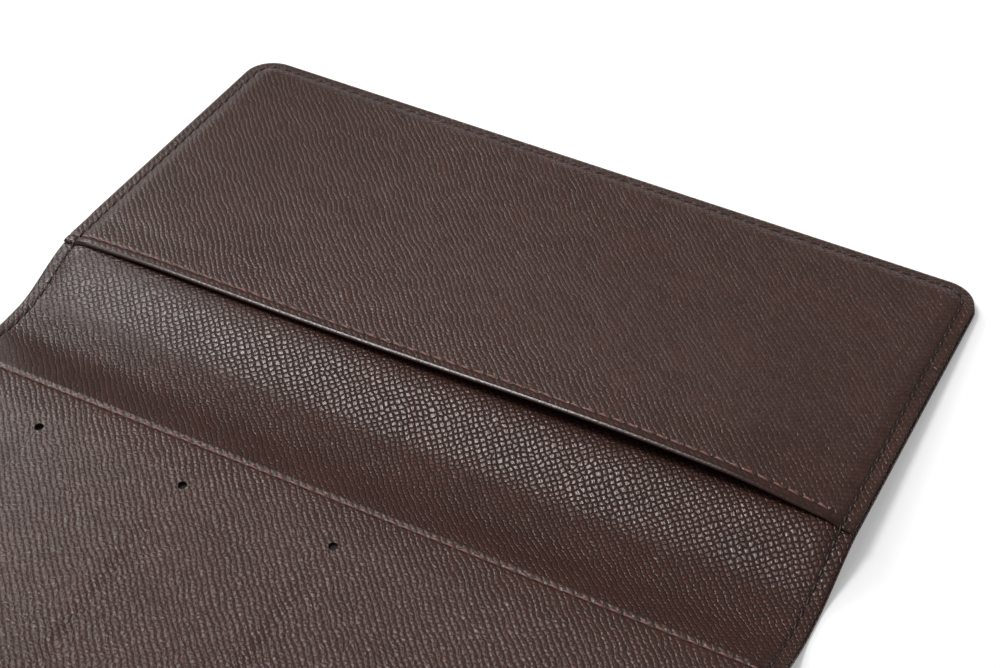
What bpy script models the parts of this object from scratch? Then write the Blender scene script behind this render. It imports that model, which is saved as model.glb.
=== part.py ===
"""A slim leather agenda cover, lying open with its inside up.

X runs across the cover: 0 is the middle of the spine, +X is the back half with the diary pocket, -X the front half with
the card panel. Y runs along the spine, towards the top of the book. Z is up, and 0 is the table.

Each layer is a grid, laid out as the flat pattern of that piece of leather or board, then draped over what lies under
it and given its thickness. The outer leather is turned in at its edges, and the mouth of the pocket is turned under.
"""

import math

import bmesh
import bpy
from mathutils import Matrix, Vector

MM = 0.001

# The cover, open
LENGTH = 178 * MM  # along the spine
HALF_WIDTH = 100 * MM  # from the middle of the spine to a far edge
CORNER_RADIUS = 7.5 * MM
SPINE_FLAT = 4 * MM  # width of the spine that lies on the table
FOLD_X = 10.5 * MM  # each fold's distance from the middle of the spine
FOLD_GAP = 0.3 * MM  # between the rigid pieces on each side of a fold
CREST_X = 21 * MM  # the boards begin here, and the cover is highest
CREST_RISE = 4.4 * MM  # underside of the cover at the crest, above the table

# Thicknesses
FIT = 0.15 * MM  # clearance between layers that lie on each other
OUTER_THICK = 0.8 * MM
OUTER_EDGE = 0.45 * MM  # skived margin that is turned in
HEM_THICK = 0.35 * MM
HEM_GAP = 0.12 * MM  # between the two plies of a turned edge
BOARD_THICK = 0.9 * MM
BOARD_EDGE = 0.45 * MM  # the board is bevelled down to this at its rim
LINING_THICK = 0.5 * MM
LINING_EDGE = 0.42 * MM
PANEL_THICK = 0.7 * MM
BAG_THICK = 0.15 * MM
BAG_FIT = 0.08 * MM

# The border: distances in from the outline
EDGE_INSET = 0.4 * MM  # the panels stop this short of the turned edge
RIM_ROUND = 0.9 * MM  # width over which a cut edge is rounded
RIM_DROP = 0.25 * MM
SEAM_INSET = 3.0 * MM  # the stitch row
SEAM_HALF = 0.5 * MM  # half the width of the groove that the thread pulls in
SEAM_DEPTH = 0.15 * MM
HEM_WIDTH = 3.8 * MM
BOARD_INSET = 4.4 * MM
FULL = 6.3 * MM  # all layers lie at their full height from here, and slope down to the rim

# The diary pocket
MOUTH_X = 19.6 * MM
MOUTH_SEAM = 2.4 * MM  # stitch row, from the mouth
MOUTH_HEM = 9 * MM
MOUTH_PLY = 0.4 * MM  # skived panel over the turned hem
MOUTH_HEM_THICK = 0.3 * MM
MOUTH_EASE = 2.5 * MM  # beyond the hem, the panel comes down to the lining over this
GAPE_LOW = 0.9 * MM  # how far the mouth stands open towards the top of the book
GAPE_HIGH = 3.1 * MM  # and at its widest place
GAPE_PLACE = 0.73  # share of the length from the top of the book to the widest place
GAPE_SPREAD = 48 * MM
GAPE_REACH = 62 * MM  # the panel comes back down to the lining this far in from the mouth
GAPE_END = 26 * MM  # the mouth opens over this length from the border's stitches at each end

# The card panel
PANEL_EDGE_X = 16.7 * MM
PANEL_SEAM = 1.8 * MM  # stitch row, from the panel's edge
SWELL_WIDTH = 7 * MM  # over which the panel climbs onto the card pockets
SLIT_COUNT = 3
SLIT_TOP = 29.2 * MM  # first slit, from the top of the book
SLIT_PITCH = 32.6 * MM
SLIT_MARGIN = 10.3 * MM  # from the punched hole at each end of a slit to the stitch row beyond it
SLIT_WIDTH = 0.5 * MM
HOLE_RADIUS = 0.9 * MM
HOLE_FACETS = 12
BAG_BOTTOM = 1 * MM  # from the lowest pocket's bottom to where the panel slopes down to its border
BAG_ABOVE = 5 * MM  # the pocket is fixed this far above its slit
BAG_MARGIN = 2.3 * MM  # beyond the slit's ends

TURN_FACETS = 4  # along the half round of a turned edge
SLOPE_FACETS = 5  # across each half of the slope between the spine's flat and the crest
BAG_NAMES = ("card_pocket_top", "card_pocket_middle", "card_pocket_bottom")

# What follows from the sizes above
HEM_RADIUS = (OUTER_EDGE + HEM_GAP + HEM_THICK) / 2
HEM_TOP = 2 * HEM_RADIUS
MOUTH_RADIUS = (MOUTH_PLY + HEM_GAP + MOUTH_HEM_THICK) / 2
SWELL = SLIT_COUNT * (BAG_THICK + BAG_FIT) + BAG_FIT - FIT
SLIT_START = PANEL_EDGE_X + PANEL_SEAM + SLIT_MARGIN
SLIT_END = HALF_WIDTH - SEAM_INSET - SLIT_MARGIN
SLIT_HEIGHTS = [LENGTH / 2 - SLIT_TOP - i * SLIT_PITCH for i in range(SLIT_COUNT)]
CARD_DEPTH = SLIT_HEIGHTS[-1] + LENGTH / 2 - FULL - BAG_BOTTOM  # from a slit to the bottom of its pocket
BAG_START = SLIT_START - BAG_MARGIN
RIM_END = EDGE_INSET + RIM_ROUND
SEAM_END = SEAM_INSET + SEAM_HALF
CUT_END = FOLD_X + FOLD_GAP / 2
SPINE_END = FOLD_X - FOLD_GAP / 2


def clamp(t):
    return max(0.0, min(1.0, t))


def smooth(t):
    t = clamp(t)
    return t * t * (3 - 2 * t)


def mix(a, b, t):
    return a + (b - a) * t


# The surfaces that the layers follow


def climb(x):
    """Share of the way up from the flat of the spine to the crest."""
    return smooth((abs(x) - SPINE_FLAT / 2) / (CREST_X - SPINE_FLAT / 2))


def rise(x):
    """Height of the cover's outside above the table: a shallow S up to the crest, then a straight slope down."""
    if abs(x) <= CREST_X:
        return CREST_RISE * climb(x)
    return CREST_RISE * (HALF_WIDTH - abs(x)) / (HALF_WIDTH - CREST_X)


def in_full(distance):
    """0 at the rounded rim, 1 where the layers lie at their full height."""
    return clamp((distance - RIM_END) / (FULL - RIM_END))


def lining_under(x, distance):
    """Underside of the lining above the cover's outside."""
    over_board = OUTER_THICK + FIT + (BOARD_THICK + FIT) * climb(x)
    return mix(HEM_TOP + FIT, over_board, in_full(distance))


def lining_thickness(distance):
    return mix(LINING_EDGE, LINING_THICK, in_full(distance))


def lining_top(x, distance):
    return lining_under(x, distance) + lining_thickness(distance)


def seam_dip(distance, row):
    """How deep the thread pulls the leather in, at a distance from an edge with a stitch row."""
    return SEAM_DEPTH * clamp(1 - abs(distance - row) / SEAM_HALF)


def rim_dip(distance):
    """How much a rounded cut edge falls, at a distance from the edge."""
    return RIM_DROP * clamp(1 - distance / RIM_ROUND) ** 2


def border_dip(distance):
    return rim_dip(distance - EDGE_INSET) + seam_dip(distance, SEAM_INSET)


def turned(distance, radius):
    """Where leather turned round an edge lies: how far in from the edge, and its share of the way to the other ply."""
    if distance >= radius:
        return distance, 0.0
    angle = (radius - distance) / radius
    if angle < math.pi:
        return radius - radius * math.sin(angle), (1 - math.cos(angle)) / 2
    return radius + (radius - distance - math.pi * radius), 1.0


def turned_length(radius, width):
    """Distance along the leather, counted from the edge, of the end of a hem of that width."""
    return radius - math.pi * radius - (width - radius)


def turn_stations(radius, width):
    """Distances along the leather: into the turn, round it, and to the end of the hem."""
    steps = [radius - math.pi * radius * i / TURN_FACETS for i in range(TURN_FACETS + 1)]
    return steps + [turned_length(radius, width)]


def plan(x, y, hem_radius=None):
    """Where a point of the flat pattern lies seen from above, and its distance along the leather from the outline."""
    from_side = HALF_WIDTH - abs(x)
    from_end = LENGTH / 2 - abs(y)
    near, other = sorted((from_side, from_end))
    inward = turned(near, hem_radius)[0] if hem_radius else near
    if other < CORNER_RADIUS:
        turn = math.pi / 4 * (CORNER_RADIUS - other) / (CORNER_RADIUS - near)
        reach = CORNER_RADIUS - inward
        inward = CORNER_RADIUS - reach * math.cos(turn)
        other = CORNER_RADIUS - reach * math.sin(turn)
    side, end = (inward, other) if from_side <= from_end else (other, inward)
    return math.copysign(HALF_WIDTH - side, x), math.copysign(LENGTH / 2 - end, y), near


def gape(x, y):
    """How far the pocket stands off the lining."""
    from_border = LENGTH / 2 - abs(y) - SEAM_END
    widest = LENGTH * (0.5 - GAPE_PLACE)
    swell = math.exp(-(((y - widest) / GAPE_SPREAD) ** 2))
    at_mouth = mix(GAPE_LOW, GAPE_HIGH, swell) * math.sin(math.pi / 2 * clamp(from_border / GAPE_END))
    return at_mouth * smooth(1 - (abs(x) - MOUTH_X) / GAPE_REACH)


# Building


def material(name, hex_colour, roughness):
    made = bpy.data.materials.new(name)
    made.use_nodes = True
    surface = made.node_tree.nodes["Principled BSDF"]
    channels = [int(hex_colour[i : i + 2], 16) / 255 for i in (0, 2, 4)]
    linear = [c / 12.92 if c <= 0.04045 else ((c + 0.055) / 1.055) ** 2.4 for c in channels]
    surface.inputs["Base Color"].default_value = (*linear, 1)
    surface.inputs["Roughness"].default_value = roughness
    surface.inputs["Metallic"].default_value = 0
    return made


def sheet(name, columns, rows, place, thickness, finish, from_top=False):
    """A grid whose columns and rows are the flat pattern, moved by place and thickened by thickness, functions of it.

    place gives the underside, or the upper side if from_top."""
    grid = bmesh.new()
    bmesh.ops.create_grid(grid, x_segments=len(columns) - 1, y_segments=len(rows) - 1, size=1)
    columns, rows = sorted(columns), sorted(rows)
    thicknesses = []
    for vertex in grid.verts:
        x = columns[round((vertex.co.x + 1) / 2 * (len(columns) - 1))]
        y = rows[round((vertex.co.y + 1) / 2 * (len(rows) - 1))]
        vertex.co = place(x, y)
        thicknesses.append(thickness(x, y))
    bmesh.ops.triangulate(grid, faces=grid.faces, quad_method="BEAUTY")
    data = bpy.data.meshes.new(name)
    grid.to_mesh(data)
    grid.free()
    piece = bpy.data.objects.new(name, data)
    cover.objects.link(piece)
    data.materials.append(finish)
    ply = piece.vertex_groups.new(name="ply")
    thickest = max(thicknesses)
    for index, thick in enumerate(thicknesses):
        ply.add([index], thick / thickest, "REPLACE")
    solid = piece.modifiers.new("thickness", "SOLIDIFY")
    solid.thickness = thickest
    solid.offset = -1 if from_top else 1
    solid.use_even_offset = True
    solid.vertex_group = ply.name
    data.shade_smooth()
    data.set_sharp_from_angle(angle=math.radians(40))
    return piece


def both_ends(distances, *between):
    """Rows of a pattern: these distances in from both ends, and the places between."""
    low = [distance - LENGTH / 2 for distance in distances]
    return sorted(low + [-y for y in low] + list(between))


def half_columns(side, near, distances):
    """Columns of a half's pattern: the places near the spine, then distances in from the far edge."""
    return sorted(side * x for x in list(near) + [HALF_WIDTH - distance for distance in distances])


FOLD_COLUMNS = [mix(CUT_END, CREST_X, i / SLOPE_FACETS) for i in range(SLOPE_FACETS + 1)]
SPINE_SLOPE = [mix(SPINE_FLAT / 2, SPINE_END, i / SLOPE_FACETS) for i in range(SLOPE_FACETS + 1)]
SPINE_COLUMNS = sorted([-x for x in SPINE_SLOPE] + SPINE_SLOPE)
OUTER_RINGS = [CORNER_RADIUS, FULL, HEM_WIDTH] + turn_stations(HEM_RADIUS, HEM_WIDTH)
LINING_RINGS = [CORNER_RADIUS, FULL, SEAM_END, SEAM_INSET, SEAM_INSET - SEAM_HALF, RIM_END, EDGE_INSET]
BOARD_RINGS = [CORNER_RADIUS, FULL, BOARD_INSET]


def outer_leather(name, columns):
    """Skived at its margin and turned in over it as a hem."""

    def place(x, y):
        px, py, distance = plan(x, y, HEM_RADIUS)
        return Vector((px, py, rise(px) + HEM_TOP * turned(distance, HEM_RADIUS)[1]))

    def thickness(x, y):
        distance = plan(x, y)[2]
        skived = clamp((distance - HEM_WIDTH) / (FULL - HEM_WIDTH))
        over = turned(distance, HEM_RADIUS)[1]
        return mix(mix(OUTER_EDGE, OUTER_THICK, skived), HEM_THICK, over)

    return sheet(name, columns, both_ends(OUTER_RINGS), place, thickness, outside)


def lining(name, columns):
    def place(x, y):
        px, py, distance = plan(x, y)
        return Vector((px, py, rise(px) + lining_under(px, distance)))

    def thickness(x, y):
        distance = plan(x, y)[2]
        return lining_thickness(distance) - border_dip(distance)

    return sheet(name, columns, both_ends(LINING_RINGS), place, thickness, inside)


def board(name, side):
    """The stiffener: bevelled rim, and its spine edge makes the crest."""
    columns = half_columns(side, [CREST_X + FIT], BOARD_RINGS)

    def place(x, y):
        px, py, _ = plan(x, y)
        return Vector((px, py, rise(px) + OUTER_THICK + FIT))

    def thickness(x, y):
        return mix(BOARD_EDGE, BOARD_THICK, clamp((plan(x, y)[2] - BOARD_INSET) / (FULL - BOARD_INSET)))

    return sheet(name, columns, both_ends(BOARD_RINGS), place, thickness, greyboard)


def diary_pocket():
    """Stitched on three sides; its mouth, towards the spine, is turned under and stands open."""
    mouth = [MOUTH_X + distance for distance in turn_stations(MOUTH_RADIUS, MOUTH_HEM)]
    seam = [MOUTH_X + MOUTH_SEAM + offset for offset in (-SEAM_HALF, 0, SEAM_HALF)]
    ease = [MOUTH_X + MOUTH_HEM, MOUTH_X + MOUTH_HEM + MOUTH_EASE]
    bulge = [MOUTH_X + GAPE_REACH * share for share in (0.3, 0.45, 0.6, 0.75, 1)]
    columns = half_columns(1, mouth + seam + ease + bulge, LINING_RINGS)
    widest = LENGTH * (0.5 - GAPE_PLACE)
    near_ends = [SEAM_END + GAPE_END * share for share in (0.35, 0.65, 1)]
    bulge_rows = [widest + GAPE_SPREAD * share for share in (0, 0.35, 0.7, 1.05, 1.4, 1.75)]
    rows = both_ends(LINING_RINGS + near_ends, *bulge_rows)

    def lie(x, y):
        """Seen from above: place, distance from the outline, from the mouth, and the share turned under."""
        from_mouth, under = turned(x - MOUTH_X, MOUTH_RADIUS)
        px, py, distance = plan(MOUTH_X + from_mouth, y)
        return px, py, distance, from_mouth, under

    def eased(from_mouth):
        return clamp((from_mouth - MOUTH_HEM) / MOUTH_EASE)

    def dip(distance, from_mouth):
        return border_dip(distance) + seam_dip(from_mouth, MOUTH_SEAM)

    def place(x, y):
        px, py, distance, from_mouth, under = lie(x, y)
        stack = mix(2 * MOUTH_RADIUS, PANEL_THICK, eased(from_mouth))
        top = rise(px) + lining_top(px, distance) + FIT + stack + gape(px, py)
        return Vector((px, py, top - mix(dip(distance, from_mouth), 2 * MOUTH_RADIUS, under)))

    def thickness(x, y):
        _, _, distance, from_mouth, under = lie(x, y)
        upper = mix(MOUTH_PLY, PANEL_THICK, eased(from_mouth)) - dip(distance, from_mouth)
        return mix(upper, MOUTH_HEM_THICK, under)

    return sheet("diary_pocket", columns, rows, place, thickness, inside, from_top=True)


def card_panel():
    """Stitched on four sides, with a slit over each card pocket."""
    edge = [PANEL_EDGE_X, PANEL_EDGE_X + RIM_ROUND]
    seam = [PANEL_EDGE_X + PANEL_SEAM, PANEL_EDGE_X + PANEL_SEAM + SEAM_HALF]
    swell = [BAG_START - SWELL_WIDTH, BAG_START - SWELL_WIDTH / 2, BAG_START]
    columns = half_columns(-1, edge + seam + swell, LINING_RINGS)

    def place(x, y):
        px, py, distance = plan(x, y)
        over_pockets = min(smooth((abs(px) - BAG_START) / SWELL_WIDTH + 1), in_full(distance))
        under = lining_top(px, distance) + FIT + SWELL * over_pockets
        return Vector((px, py, rise(px) + under))

    def thickness(x, y):
        from_edge = abs(x) - PANEL_EDGE_X
        return PANEL_THICK - border_dip(plan(x, y)[2]) - rim_dip(from_edge) - seam_dip(from_edge, PANEL_SEAM)

    piece = sheet("card_panel", columns, both_ends(LINING_RINGS), place, thickness, inside)
    for index, height in enumerate(SLIT_HEIGHTS):
        cut = piece.modifiers.new(f"slit_{index + 1}", "BOOLEAN")
        cut.operation = "DIFFERENCE"
        cut.object = slit_cutter(index, height)
    return piece


def slit_cutter(index, height):
    """A slit with a punched hole at each end, as one outline, tall enough to go through the panel."""
    opening = math.asin(SLIT_WIDTH / 2 / HOLE_RADIUS)
    arc = [mix(opening, 2 * math.pi - opening, i / HOLE_FACETS) for i in range(HOLE_FACETS + 1)]
    hole = [Vector((HOLE_RADIUS * math.cos(a), HOLE_RADIUS * math.sin(a), 0)) for a in arc]
    spine_hole = Vector((-SLIT_START, height, 0))
    far_hole = Vector((-SLIT_END, height, 0))
    outline = [far_hole + point for point in hole] + [spine_hole - point for point in hole]
    shape = bmesh.new()
    face = shape.faces.new([shape.verts.new(point) for point in outline])
    walls = bmesh.ops.extrude_face_region(shape, geom=[face])
    tall = CREST_RISE + lining_top(CREST_X, FULL) + SWELL + 2 * PANEL_THICK
    bmesh.ops.translate(shape, verts=[v for v in walls["geom"] if isinstance(v, bmesh.types.BMVert)], vec=(0, 0, tall))
    bmesh.ops.recalc_face_normals(shape, faces=shape.faces)
    data = bpy.data.meshes.new(f"slit_cutter_{index + 1}")
    shape.to_mesh(data)
    shape.free()
    cutter = bpy.data.objects.new(data.name, data)
    cutter.hide_render = True
    cutter.display_type = "WIRE"
    cutters.objects.link(cutter)
    return cutter


def card_pocket(index, height):
    """A thin bag behind a slit: a card slides down in it. The top one lies deepest."""
    far = SLIT_END + BAG_MARGIN
    above_lining = BAG_FIT + index * (BAG_THICK + BAG_FIT)

    def place(x, y):
        return Vector((x, y, rise(x) + lining_top(x, FULL) + above_lining))

    rows = [height - CARD_DEPTH, height + BAG_ABOVE]
    return sheet(BAG_NAMES[index], [-far, -BAG_START], rows, place, lambda x, y: BAG_THICK, bag_cloth)


def fold(name, x, parent=None):
    """An empty on a fold's axis, on the inner face of the lining, so that nothing closes on itself when it bends."""
    axis = bpy.data.objects.new(name, None)
    axis.location = (x, 0, rise(x) + lining_top(x, FULL))
    cover.objects.link(axis)
    if parent:
        attach([axis], parent)
    return axis


def attach(pieces, parent):
    """Parents the pieces, which stay where they are."""
    bpy.context.view_layer.update()
    for piece in pieces:
        piece.parent = parent
        piece.matrix_parent_inverse = parent.matrix_world.inverted()


def clear_scene():
    for old in list(bpy.data.objects):
        bpy.data.objects.remove(old, do_unlink=True)


clear_scene()
cover = bpy.data.collections.new("agenda_cover")
cutters = bpy.data.collections.new("cutters")
for collection in (cover, cutters):
    bpy.context.scene.collection.children.link(collection)

outside = material("outer_leather", "4a3833", 0.5)
inside = material("lining_leather", "50403c", 0.45)
greyboard = material("greyboard", "8a8378", 0.9)
bag_cloth = material("bag_cloth", "3a2e2a", 0.8)

back_cover = [
    outer_leather("back_cover_leather", half_columns(1, FOLD_COLUMNS, OUTER_RINGS)),
    board("back_board", 1),
    lining("back_lining", half_columns(1, FOLD_COLUMNS, LINING_RINGS)),
    diary_pocket(),
]
spine = [
    outer_leather("spine_leather", SPINE_COLUMNS),
    lining("spine_lining", SPINE_COLUMNS),
]
front_cover = [
    outer_leather("front_cover_leather", half_columns(-1, FOLD_COLUMNS, OUTER_RINGS)),
    board("front_board", -1),
    lining("front_lining", half_columns(-1, FOLD_COLUMNS, LINING_RINGS)),
    card_panel(),
]
front_cover += [card_pocket(index, height) for index, height in enumerate(SLIT_HEIGHTS)]

back_fold = fold("back_fold", FOLD_X)
front_fold = fold("front_fold", -FOLD_X, back_fold)
attach(spine, back_fold)
attach(front_cover, front_fold)
print(f"folds {back_fold.location.z / MM:.3f} mm above the table, {FOLD_X / MM:.1f} mm from the middle of the spine")
print(f"tilt of each half {math.degrees(math.atan(CREST_RISE / (HALF_WIDTH - CREST_X))):.2f} degrees")
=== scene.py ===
# %% [markdown]
# # A leather agenda cover, lying open
#
# This script dresses a slim agenda cover: a back half with a pocket for the diary, a front half with a
# panel of card slits, and a spine that bends between them. The frame that it loads holds the rigid model,
# in metres: X runs across the cover with 0 at the middle of the spine, Y runs along the spine, and the
# cover lies on the table at Z = 0.
#
# What makes such a thing look like leather is a fine cross grain, turned and skived edges, rows of thread,
# and soft lights that slide over all of them. The surface that all pieces share comes first, then the
# finishes, the pieces, the thread and the light.

import math

import bmesh
import bpy
import numpy as np
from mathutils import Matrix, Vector


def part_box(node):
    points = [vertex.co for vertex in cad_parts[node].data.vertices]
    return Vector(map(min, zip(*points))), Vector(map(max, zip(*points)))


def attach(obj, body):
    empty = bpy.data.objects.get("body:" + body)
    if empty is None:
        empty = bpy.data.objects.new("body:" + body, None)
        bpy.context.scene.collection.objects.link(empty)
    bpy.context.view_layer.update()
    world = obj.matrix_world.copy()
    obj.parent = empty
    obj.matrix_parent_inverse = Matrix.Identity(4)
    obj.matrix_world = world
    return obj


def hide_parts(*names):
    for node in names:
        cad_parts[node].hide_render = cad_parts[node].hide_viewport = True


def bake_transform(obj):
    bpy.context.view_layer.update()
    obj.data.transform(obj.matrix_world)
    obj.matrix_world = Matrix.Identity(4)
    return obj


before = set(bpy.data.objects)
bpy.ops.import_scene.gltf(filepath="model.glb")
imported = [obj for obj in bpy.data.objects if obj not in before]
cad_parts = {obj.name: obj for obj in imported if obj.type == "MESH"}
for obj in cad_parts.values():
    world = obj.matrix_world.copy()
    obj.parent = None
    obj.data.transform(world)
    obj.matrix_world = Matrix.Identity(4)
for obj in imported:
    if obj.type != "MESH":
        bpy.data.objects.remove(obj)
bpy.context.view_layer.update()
MM = 0.001
print("nodes:", ", ".join(sorted(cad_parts)))

# %% [markdown]
# ## The sizes
#
# The leather here is draped over the same surfaces as the rigid model, only on a much finer grid. So the
# outline, the mouth of the pocket and the edge of the card panel are read from the frame, and the rest are
# the leatherworker's own sizes: how thick each ply is, how far in the thread runs, how deep it pulls the
# leather in.

# %% Sizes of the cover
HALF_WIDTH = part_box("back_cover_leather")[1][0]
LENGTH = 2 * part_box("back_cover_leather")[1][1]
MOUTH_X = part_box("diary_pocket")[0][0]
PANEL_EDGE_X = -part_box("card_panel")[1][0]
CORNER_RADIUS = 7.5 * MM
SPINE_FLAT = 4 * MM
CREST_X = 21 * MM  # the boards begin here, and the cover is highest
CREST_RISE = 4.4 * MM

FIT = 0.15 * MM  # between layers that lie on each other
OUTER_THICK = 0.8 * MM
OUTER_EDGE = 0.45 * MM  # skived where it is turned in
HEM_THICK = 0.35 * MM
HEM_RADIUS = 0.46 * MM
HEM_WIDTH = 3.8 * MM
BOARD_THICK = 0.9 * MM
LINING_THICK = 0.5 * MM
LINING_EDGE = 0.42 * MM
PANEL_THICK = 0.7 * MM

EDGE_INSET = 0.4 * MM  # the inner leathers stop this short of the turned edge
RIM_ROUND = 0.9 * MM  # a cut edge is rounded over this width
RIM_DROP = 0.25 * MM
SEAM_INSET = 3.0 * MM  # from the outline to the border's stitches
SEAM_HALF = 0.6 * MM  # half the width of the groove that the thread pulls in
SEAM_DEPTH = 0.24 * MM
SEAM_EVENNESS = 0.7  # 1 gives an even groove, 0.5 one that vanishes halfway along each stitch
RIM_END = EDGE_INSET + RIM_ROUND
SEAM_END = SEAM_INSET + SEAM_HALF
FULL = 6.3 * MM  # all layers lie at their full height from here, and slope down to the rim

MOUTH_SEAM = 2.4 * MM  # from the mouth to its stitches
MOUTH_HEM = 9 * MM
MOUTH_RADIUS = 0.28 * MM
MOUTH_PLY = 0.3 * MM
MOUTH_HEM_THICK = 0.18 * MM
MOUTH_EASE = 2.5 * MM  # beyond the hem, the panel comes down to the lining over this width
MOUTH_BEVEL = 0.58 * MM  # the face is creased down towards the mouth from here
MOUTH_BEVEL_SLOPE = 0.44
GAPE_LOW = 0.9 * MM  # how far the mouth stands open towards the top of the book
GAPE_HIGH = 3.1 * MM  # and at its widest place
GAPE_PLACE = 0.73  # share of the length from the top of the book to that place
GAPE_SPREAD = 48 * MM
GAPE_REACH = 62 * MM  # the panel is back on the lining this far in from the mouth
GAPE_END = 26 * MM  # the mouth opens over this length from each end

PANEL_SEAM = 1.8 * MM  # from the panel's edge beside the spine to its stitches
PANEL_SEAM_REACH = 1.5 * MM  # the strip from the edge falls to the stitches over this width
PANEL_SEAM_DEPTH = 0.46 * MM
PANEL_SEAM_EVENNESS = 0.88
PANEL_FLARE = 0.28 * MM  # how far the pull of the stitches lifts the edge
SWELL_WIDTH = 7 * MM
SWELL = 0.62 * MM  # how far the card pockets lift the panel
SLIT_START = 28.8 * MM  # from the middle of the spine
SLIT_END = 86.7 * MM
SLIT_TOP = 29.2 * MM  # first slit, from the top of the book
SLIT_PITCH = 32.6 * MM
SLIT_HEIGHTS = [LENGTH / 2 - SLIT_TOP - i * SLIT_PITCH for i in range(3)]
BAG_START = 26.5 * MM
print(f"the cover is {2000 * HALF_WIDTH:.1f} x {1000 * LENGTH:.1f} mm open")

# %% [markdown]
# ## The surface that everything lies on
#
# Every layer of a cover like this follows one shape: flat on the table at the spine, up a shallow S to the
# edge of the boards, and down again to the far edges. One function gives that shape, and each layer adds
# what lies beneath it. Near the outline the plies are skived and pressed together, so the layers thin out
# there. All of these take arrays, so a whole grid is placed in one call.


# %% Heights of the layers
def smooth(t):
    t = np.clip(t, 0, 1)
    return t * t * (3 - 2 * t)


def mix(a, b, t):
    return a + (b - a) * t


def climb(x):
    return smooth((np.abs(x) - SPINE_FLAT / 2) / (CREST_X - SPINE_FLAT / 2))


def rise(x):
    """Height of the cover's outside above the table."""
    slope = CREST_RISE * (HALF_WIDTH - np.abs(x)) / (HALF_WIDTH - CREST_X)
    return np.where(np.abs(x) <= CREST_X, CREST_RISE * climb(x), slope)


def in_full(distance):
    """0 at the rounded rim, 1 where the layers lie at their full height."""
    return smooth((distance - RIM_END) / (FULL - RIM_END))


def lining_top(x, distance):
    under = mix(2 * HEM_RADIUS + FIT, OUTER_THICK + FIT + (BOARD_THICK + FIT) * climb(x), in_full(distance))
    return under + mix(LINING_EDGE, LINING_THICK, in_full(distance))


def swell(x, distance):
    """How far the card pockets lift the panel over them."""
    return SWELL * np.minimum(smooth((np.abs(x) - BAG_START) / SWELL_WIDTH + 1), in_full(distance))


def gape(x, y):
    """How far the diary pocket stands off the lining."""
    from_border = LENGTH / 2 - np.abs(y) - SEAM_END
    widest = LENGTH * (0.5 - GAPE_PLACE)
    spread = np.exp(-(((y - widest) / GAPE_SPREAD) ** 2))
    opened = np.sin(math.pi / 2 * np.clip(from_border / GAPE_END, 0, 1))
    at_mouth = mix(GAPE_LOW, GAPE_HIGH, spread) * opened
    return at_mouth * smooth(1 - (np.abs(x) - MOUTH_X) / GAPE_REACH)


# %% [markdown]
# ## Thread pulls the leather in
#
# A row of stitches never lies on a flat surface. The thread is pulled tight, so the leather sinks into a
# groove along the row, and sinks deepest at each needle hole. A groove that swells and sinks with the pitch
# of the stitches is what makes a seam look sewn. For that, each point needs to know how far along the row
# it lies, also round a corner.

# %% Seams and edges
PITCH = 3 * MM
STRAIGHT = HALF_WIDTH - CORNER_RADIUS
ARC = math.pi / 2 * (CORNER_RADIUS - SEAM_INSET)
BORDER_ROW = 2 * STRAIGHT + 2 * ARC + LENGTH - 2 * CORNER_RADIUS  # round one half, from spine to spine
BORDER_COUNT = round(BORDER_ROW / PITCH)
BORDER_PITCH = BORDER_ROW / BORDER_COUNT


def seam_pull(along, pitch, evenness=SEAM_EVENNESS):
    """How far the thread pulls the leather in: most at the needle holes, at multiples of the pitch."""
    return evenness + (1 - evenness) * np.cos(2 * math.pi * along / pitch)


def seam_dip(distance, row, along, pitch):
    """Depth of the groove at a distance from the edge, and at one along the row from a needle hole."""
    return SEAM_DEPTH * smooth(1 - np.abs(distance - row) / SEAM_HALF) * seam_pull(along, pitch)


def rim_dip(distance):
    """How much a rounded cut edge falls."""
    return RIM_DROP * np.clip(1 - distance / RIM_ROUND, 0, 1) ** 2


def turned(distance, radius):
    """Leather turned round an edge: how far in it lies, and its share of the way to the other ply."""
    angle = np.clip((radius - distance) / radius, 0, math.pi)
    inward = np.where(distance >= radius, distance, radius - radius * np.sin(angle))
    return inward + np.maximum(radius - distance - math.pi * radius, 0), (1 - np.cos(angle)) / 2


def plan(x, y, hem_radius=None):
    """Where a point of the flat pattern lies, its distance from the outline, and its place on the row."""
    from_side = HALF_WIDTH - np.abs(x)
    from_end = LENGTH / 2 - np.abs(y)
    near = np.minimum(from_side, from_end)
    other = np.maximum(from_side, from_end)
    inward = turned(near, hem_radius)[0] if hem_radius else near
    corner = other < CORNER_RADIUS
    ring = np.where(corner, CORNER_RADIUS - near, 1)
    turn = np.where(corner, math.pi / 4 * (CORNER_RADIUS - other) / ring, 0)
    reach = CORNER_RADIUS - inward
    across = np.where(corner, CORNER_RADIUS - reach * np.cos(turn), inward)
    beside = np.where(corner, CORNER_RADIUS - reach * np.sin(turn), other)
    sideways = from_side <= from_end
    side = np.where(sideways, across, beside)
    end = np.where(sideways, beside, across)
    round_corner = (CORNER_RADIUS - SEAM_INSET) * turn
    on_end = np.minimum(np.abs(x), STRAIGHT) + round_corner
    on_side = STRAIGHT + ARC - round_corner + np.maximum(from_end - CORNER_RADIUS, 0)
    along = np.where(sideways, on_side, on_end)
    return np.copysign(HALF_WIDTH - side, x), np.copysign(LENGTH / 2 - end, y), near, along


def border_dip(distance, along):
    return rim_dip(distance - EDGE_INSET) + seam_dip(distance, SEAM_INSET, along, BORDER_PITCH)


TOP_RELIEF = 0.5  # share of the grain that is left at the top of the book
TOP_REACH = 80 * MM  # it has its full depth from here down


def border_relief(x, y):
    """The grain is shallower towards the top of the book."""
    return mix(TOP_RELIEF, 1, smooth((LENGTH / 2 - y) / TOP_REACH))


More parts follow.
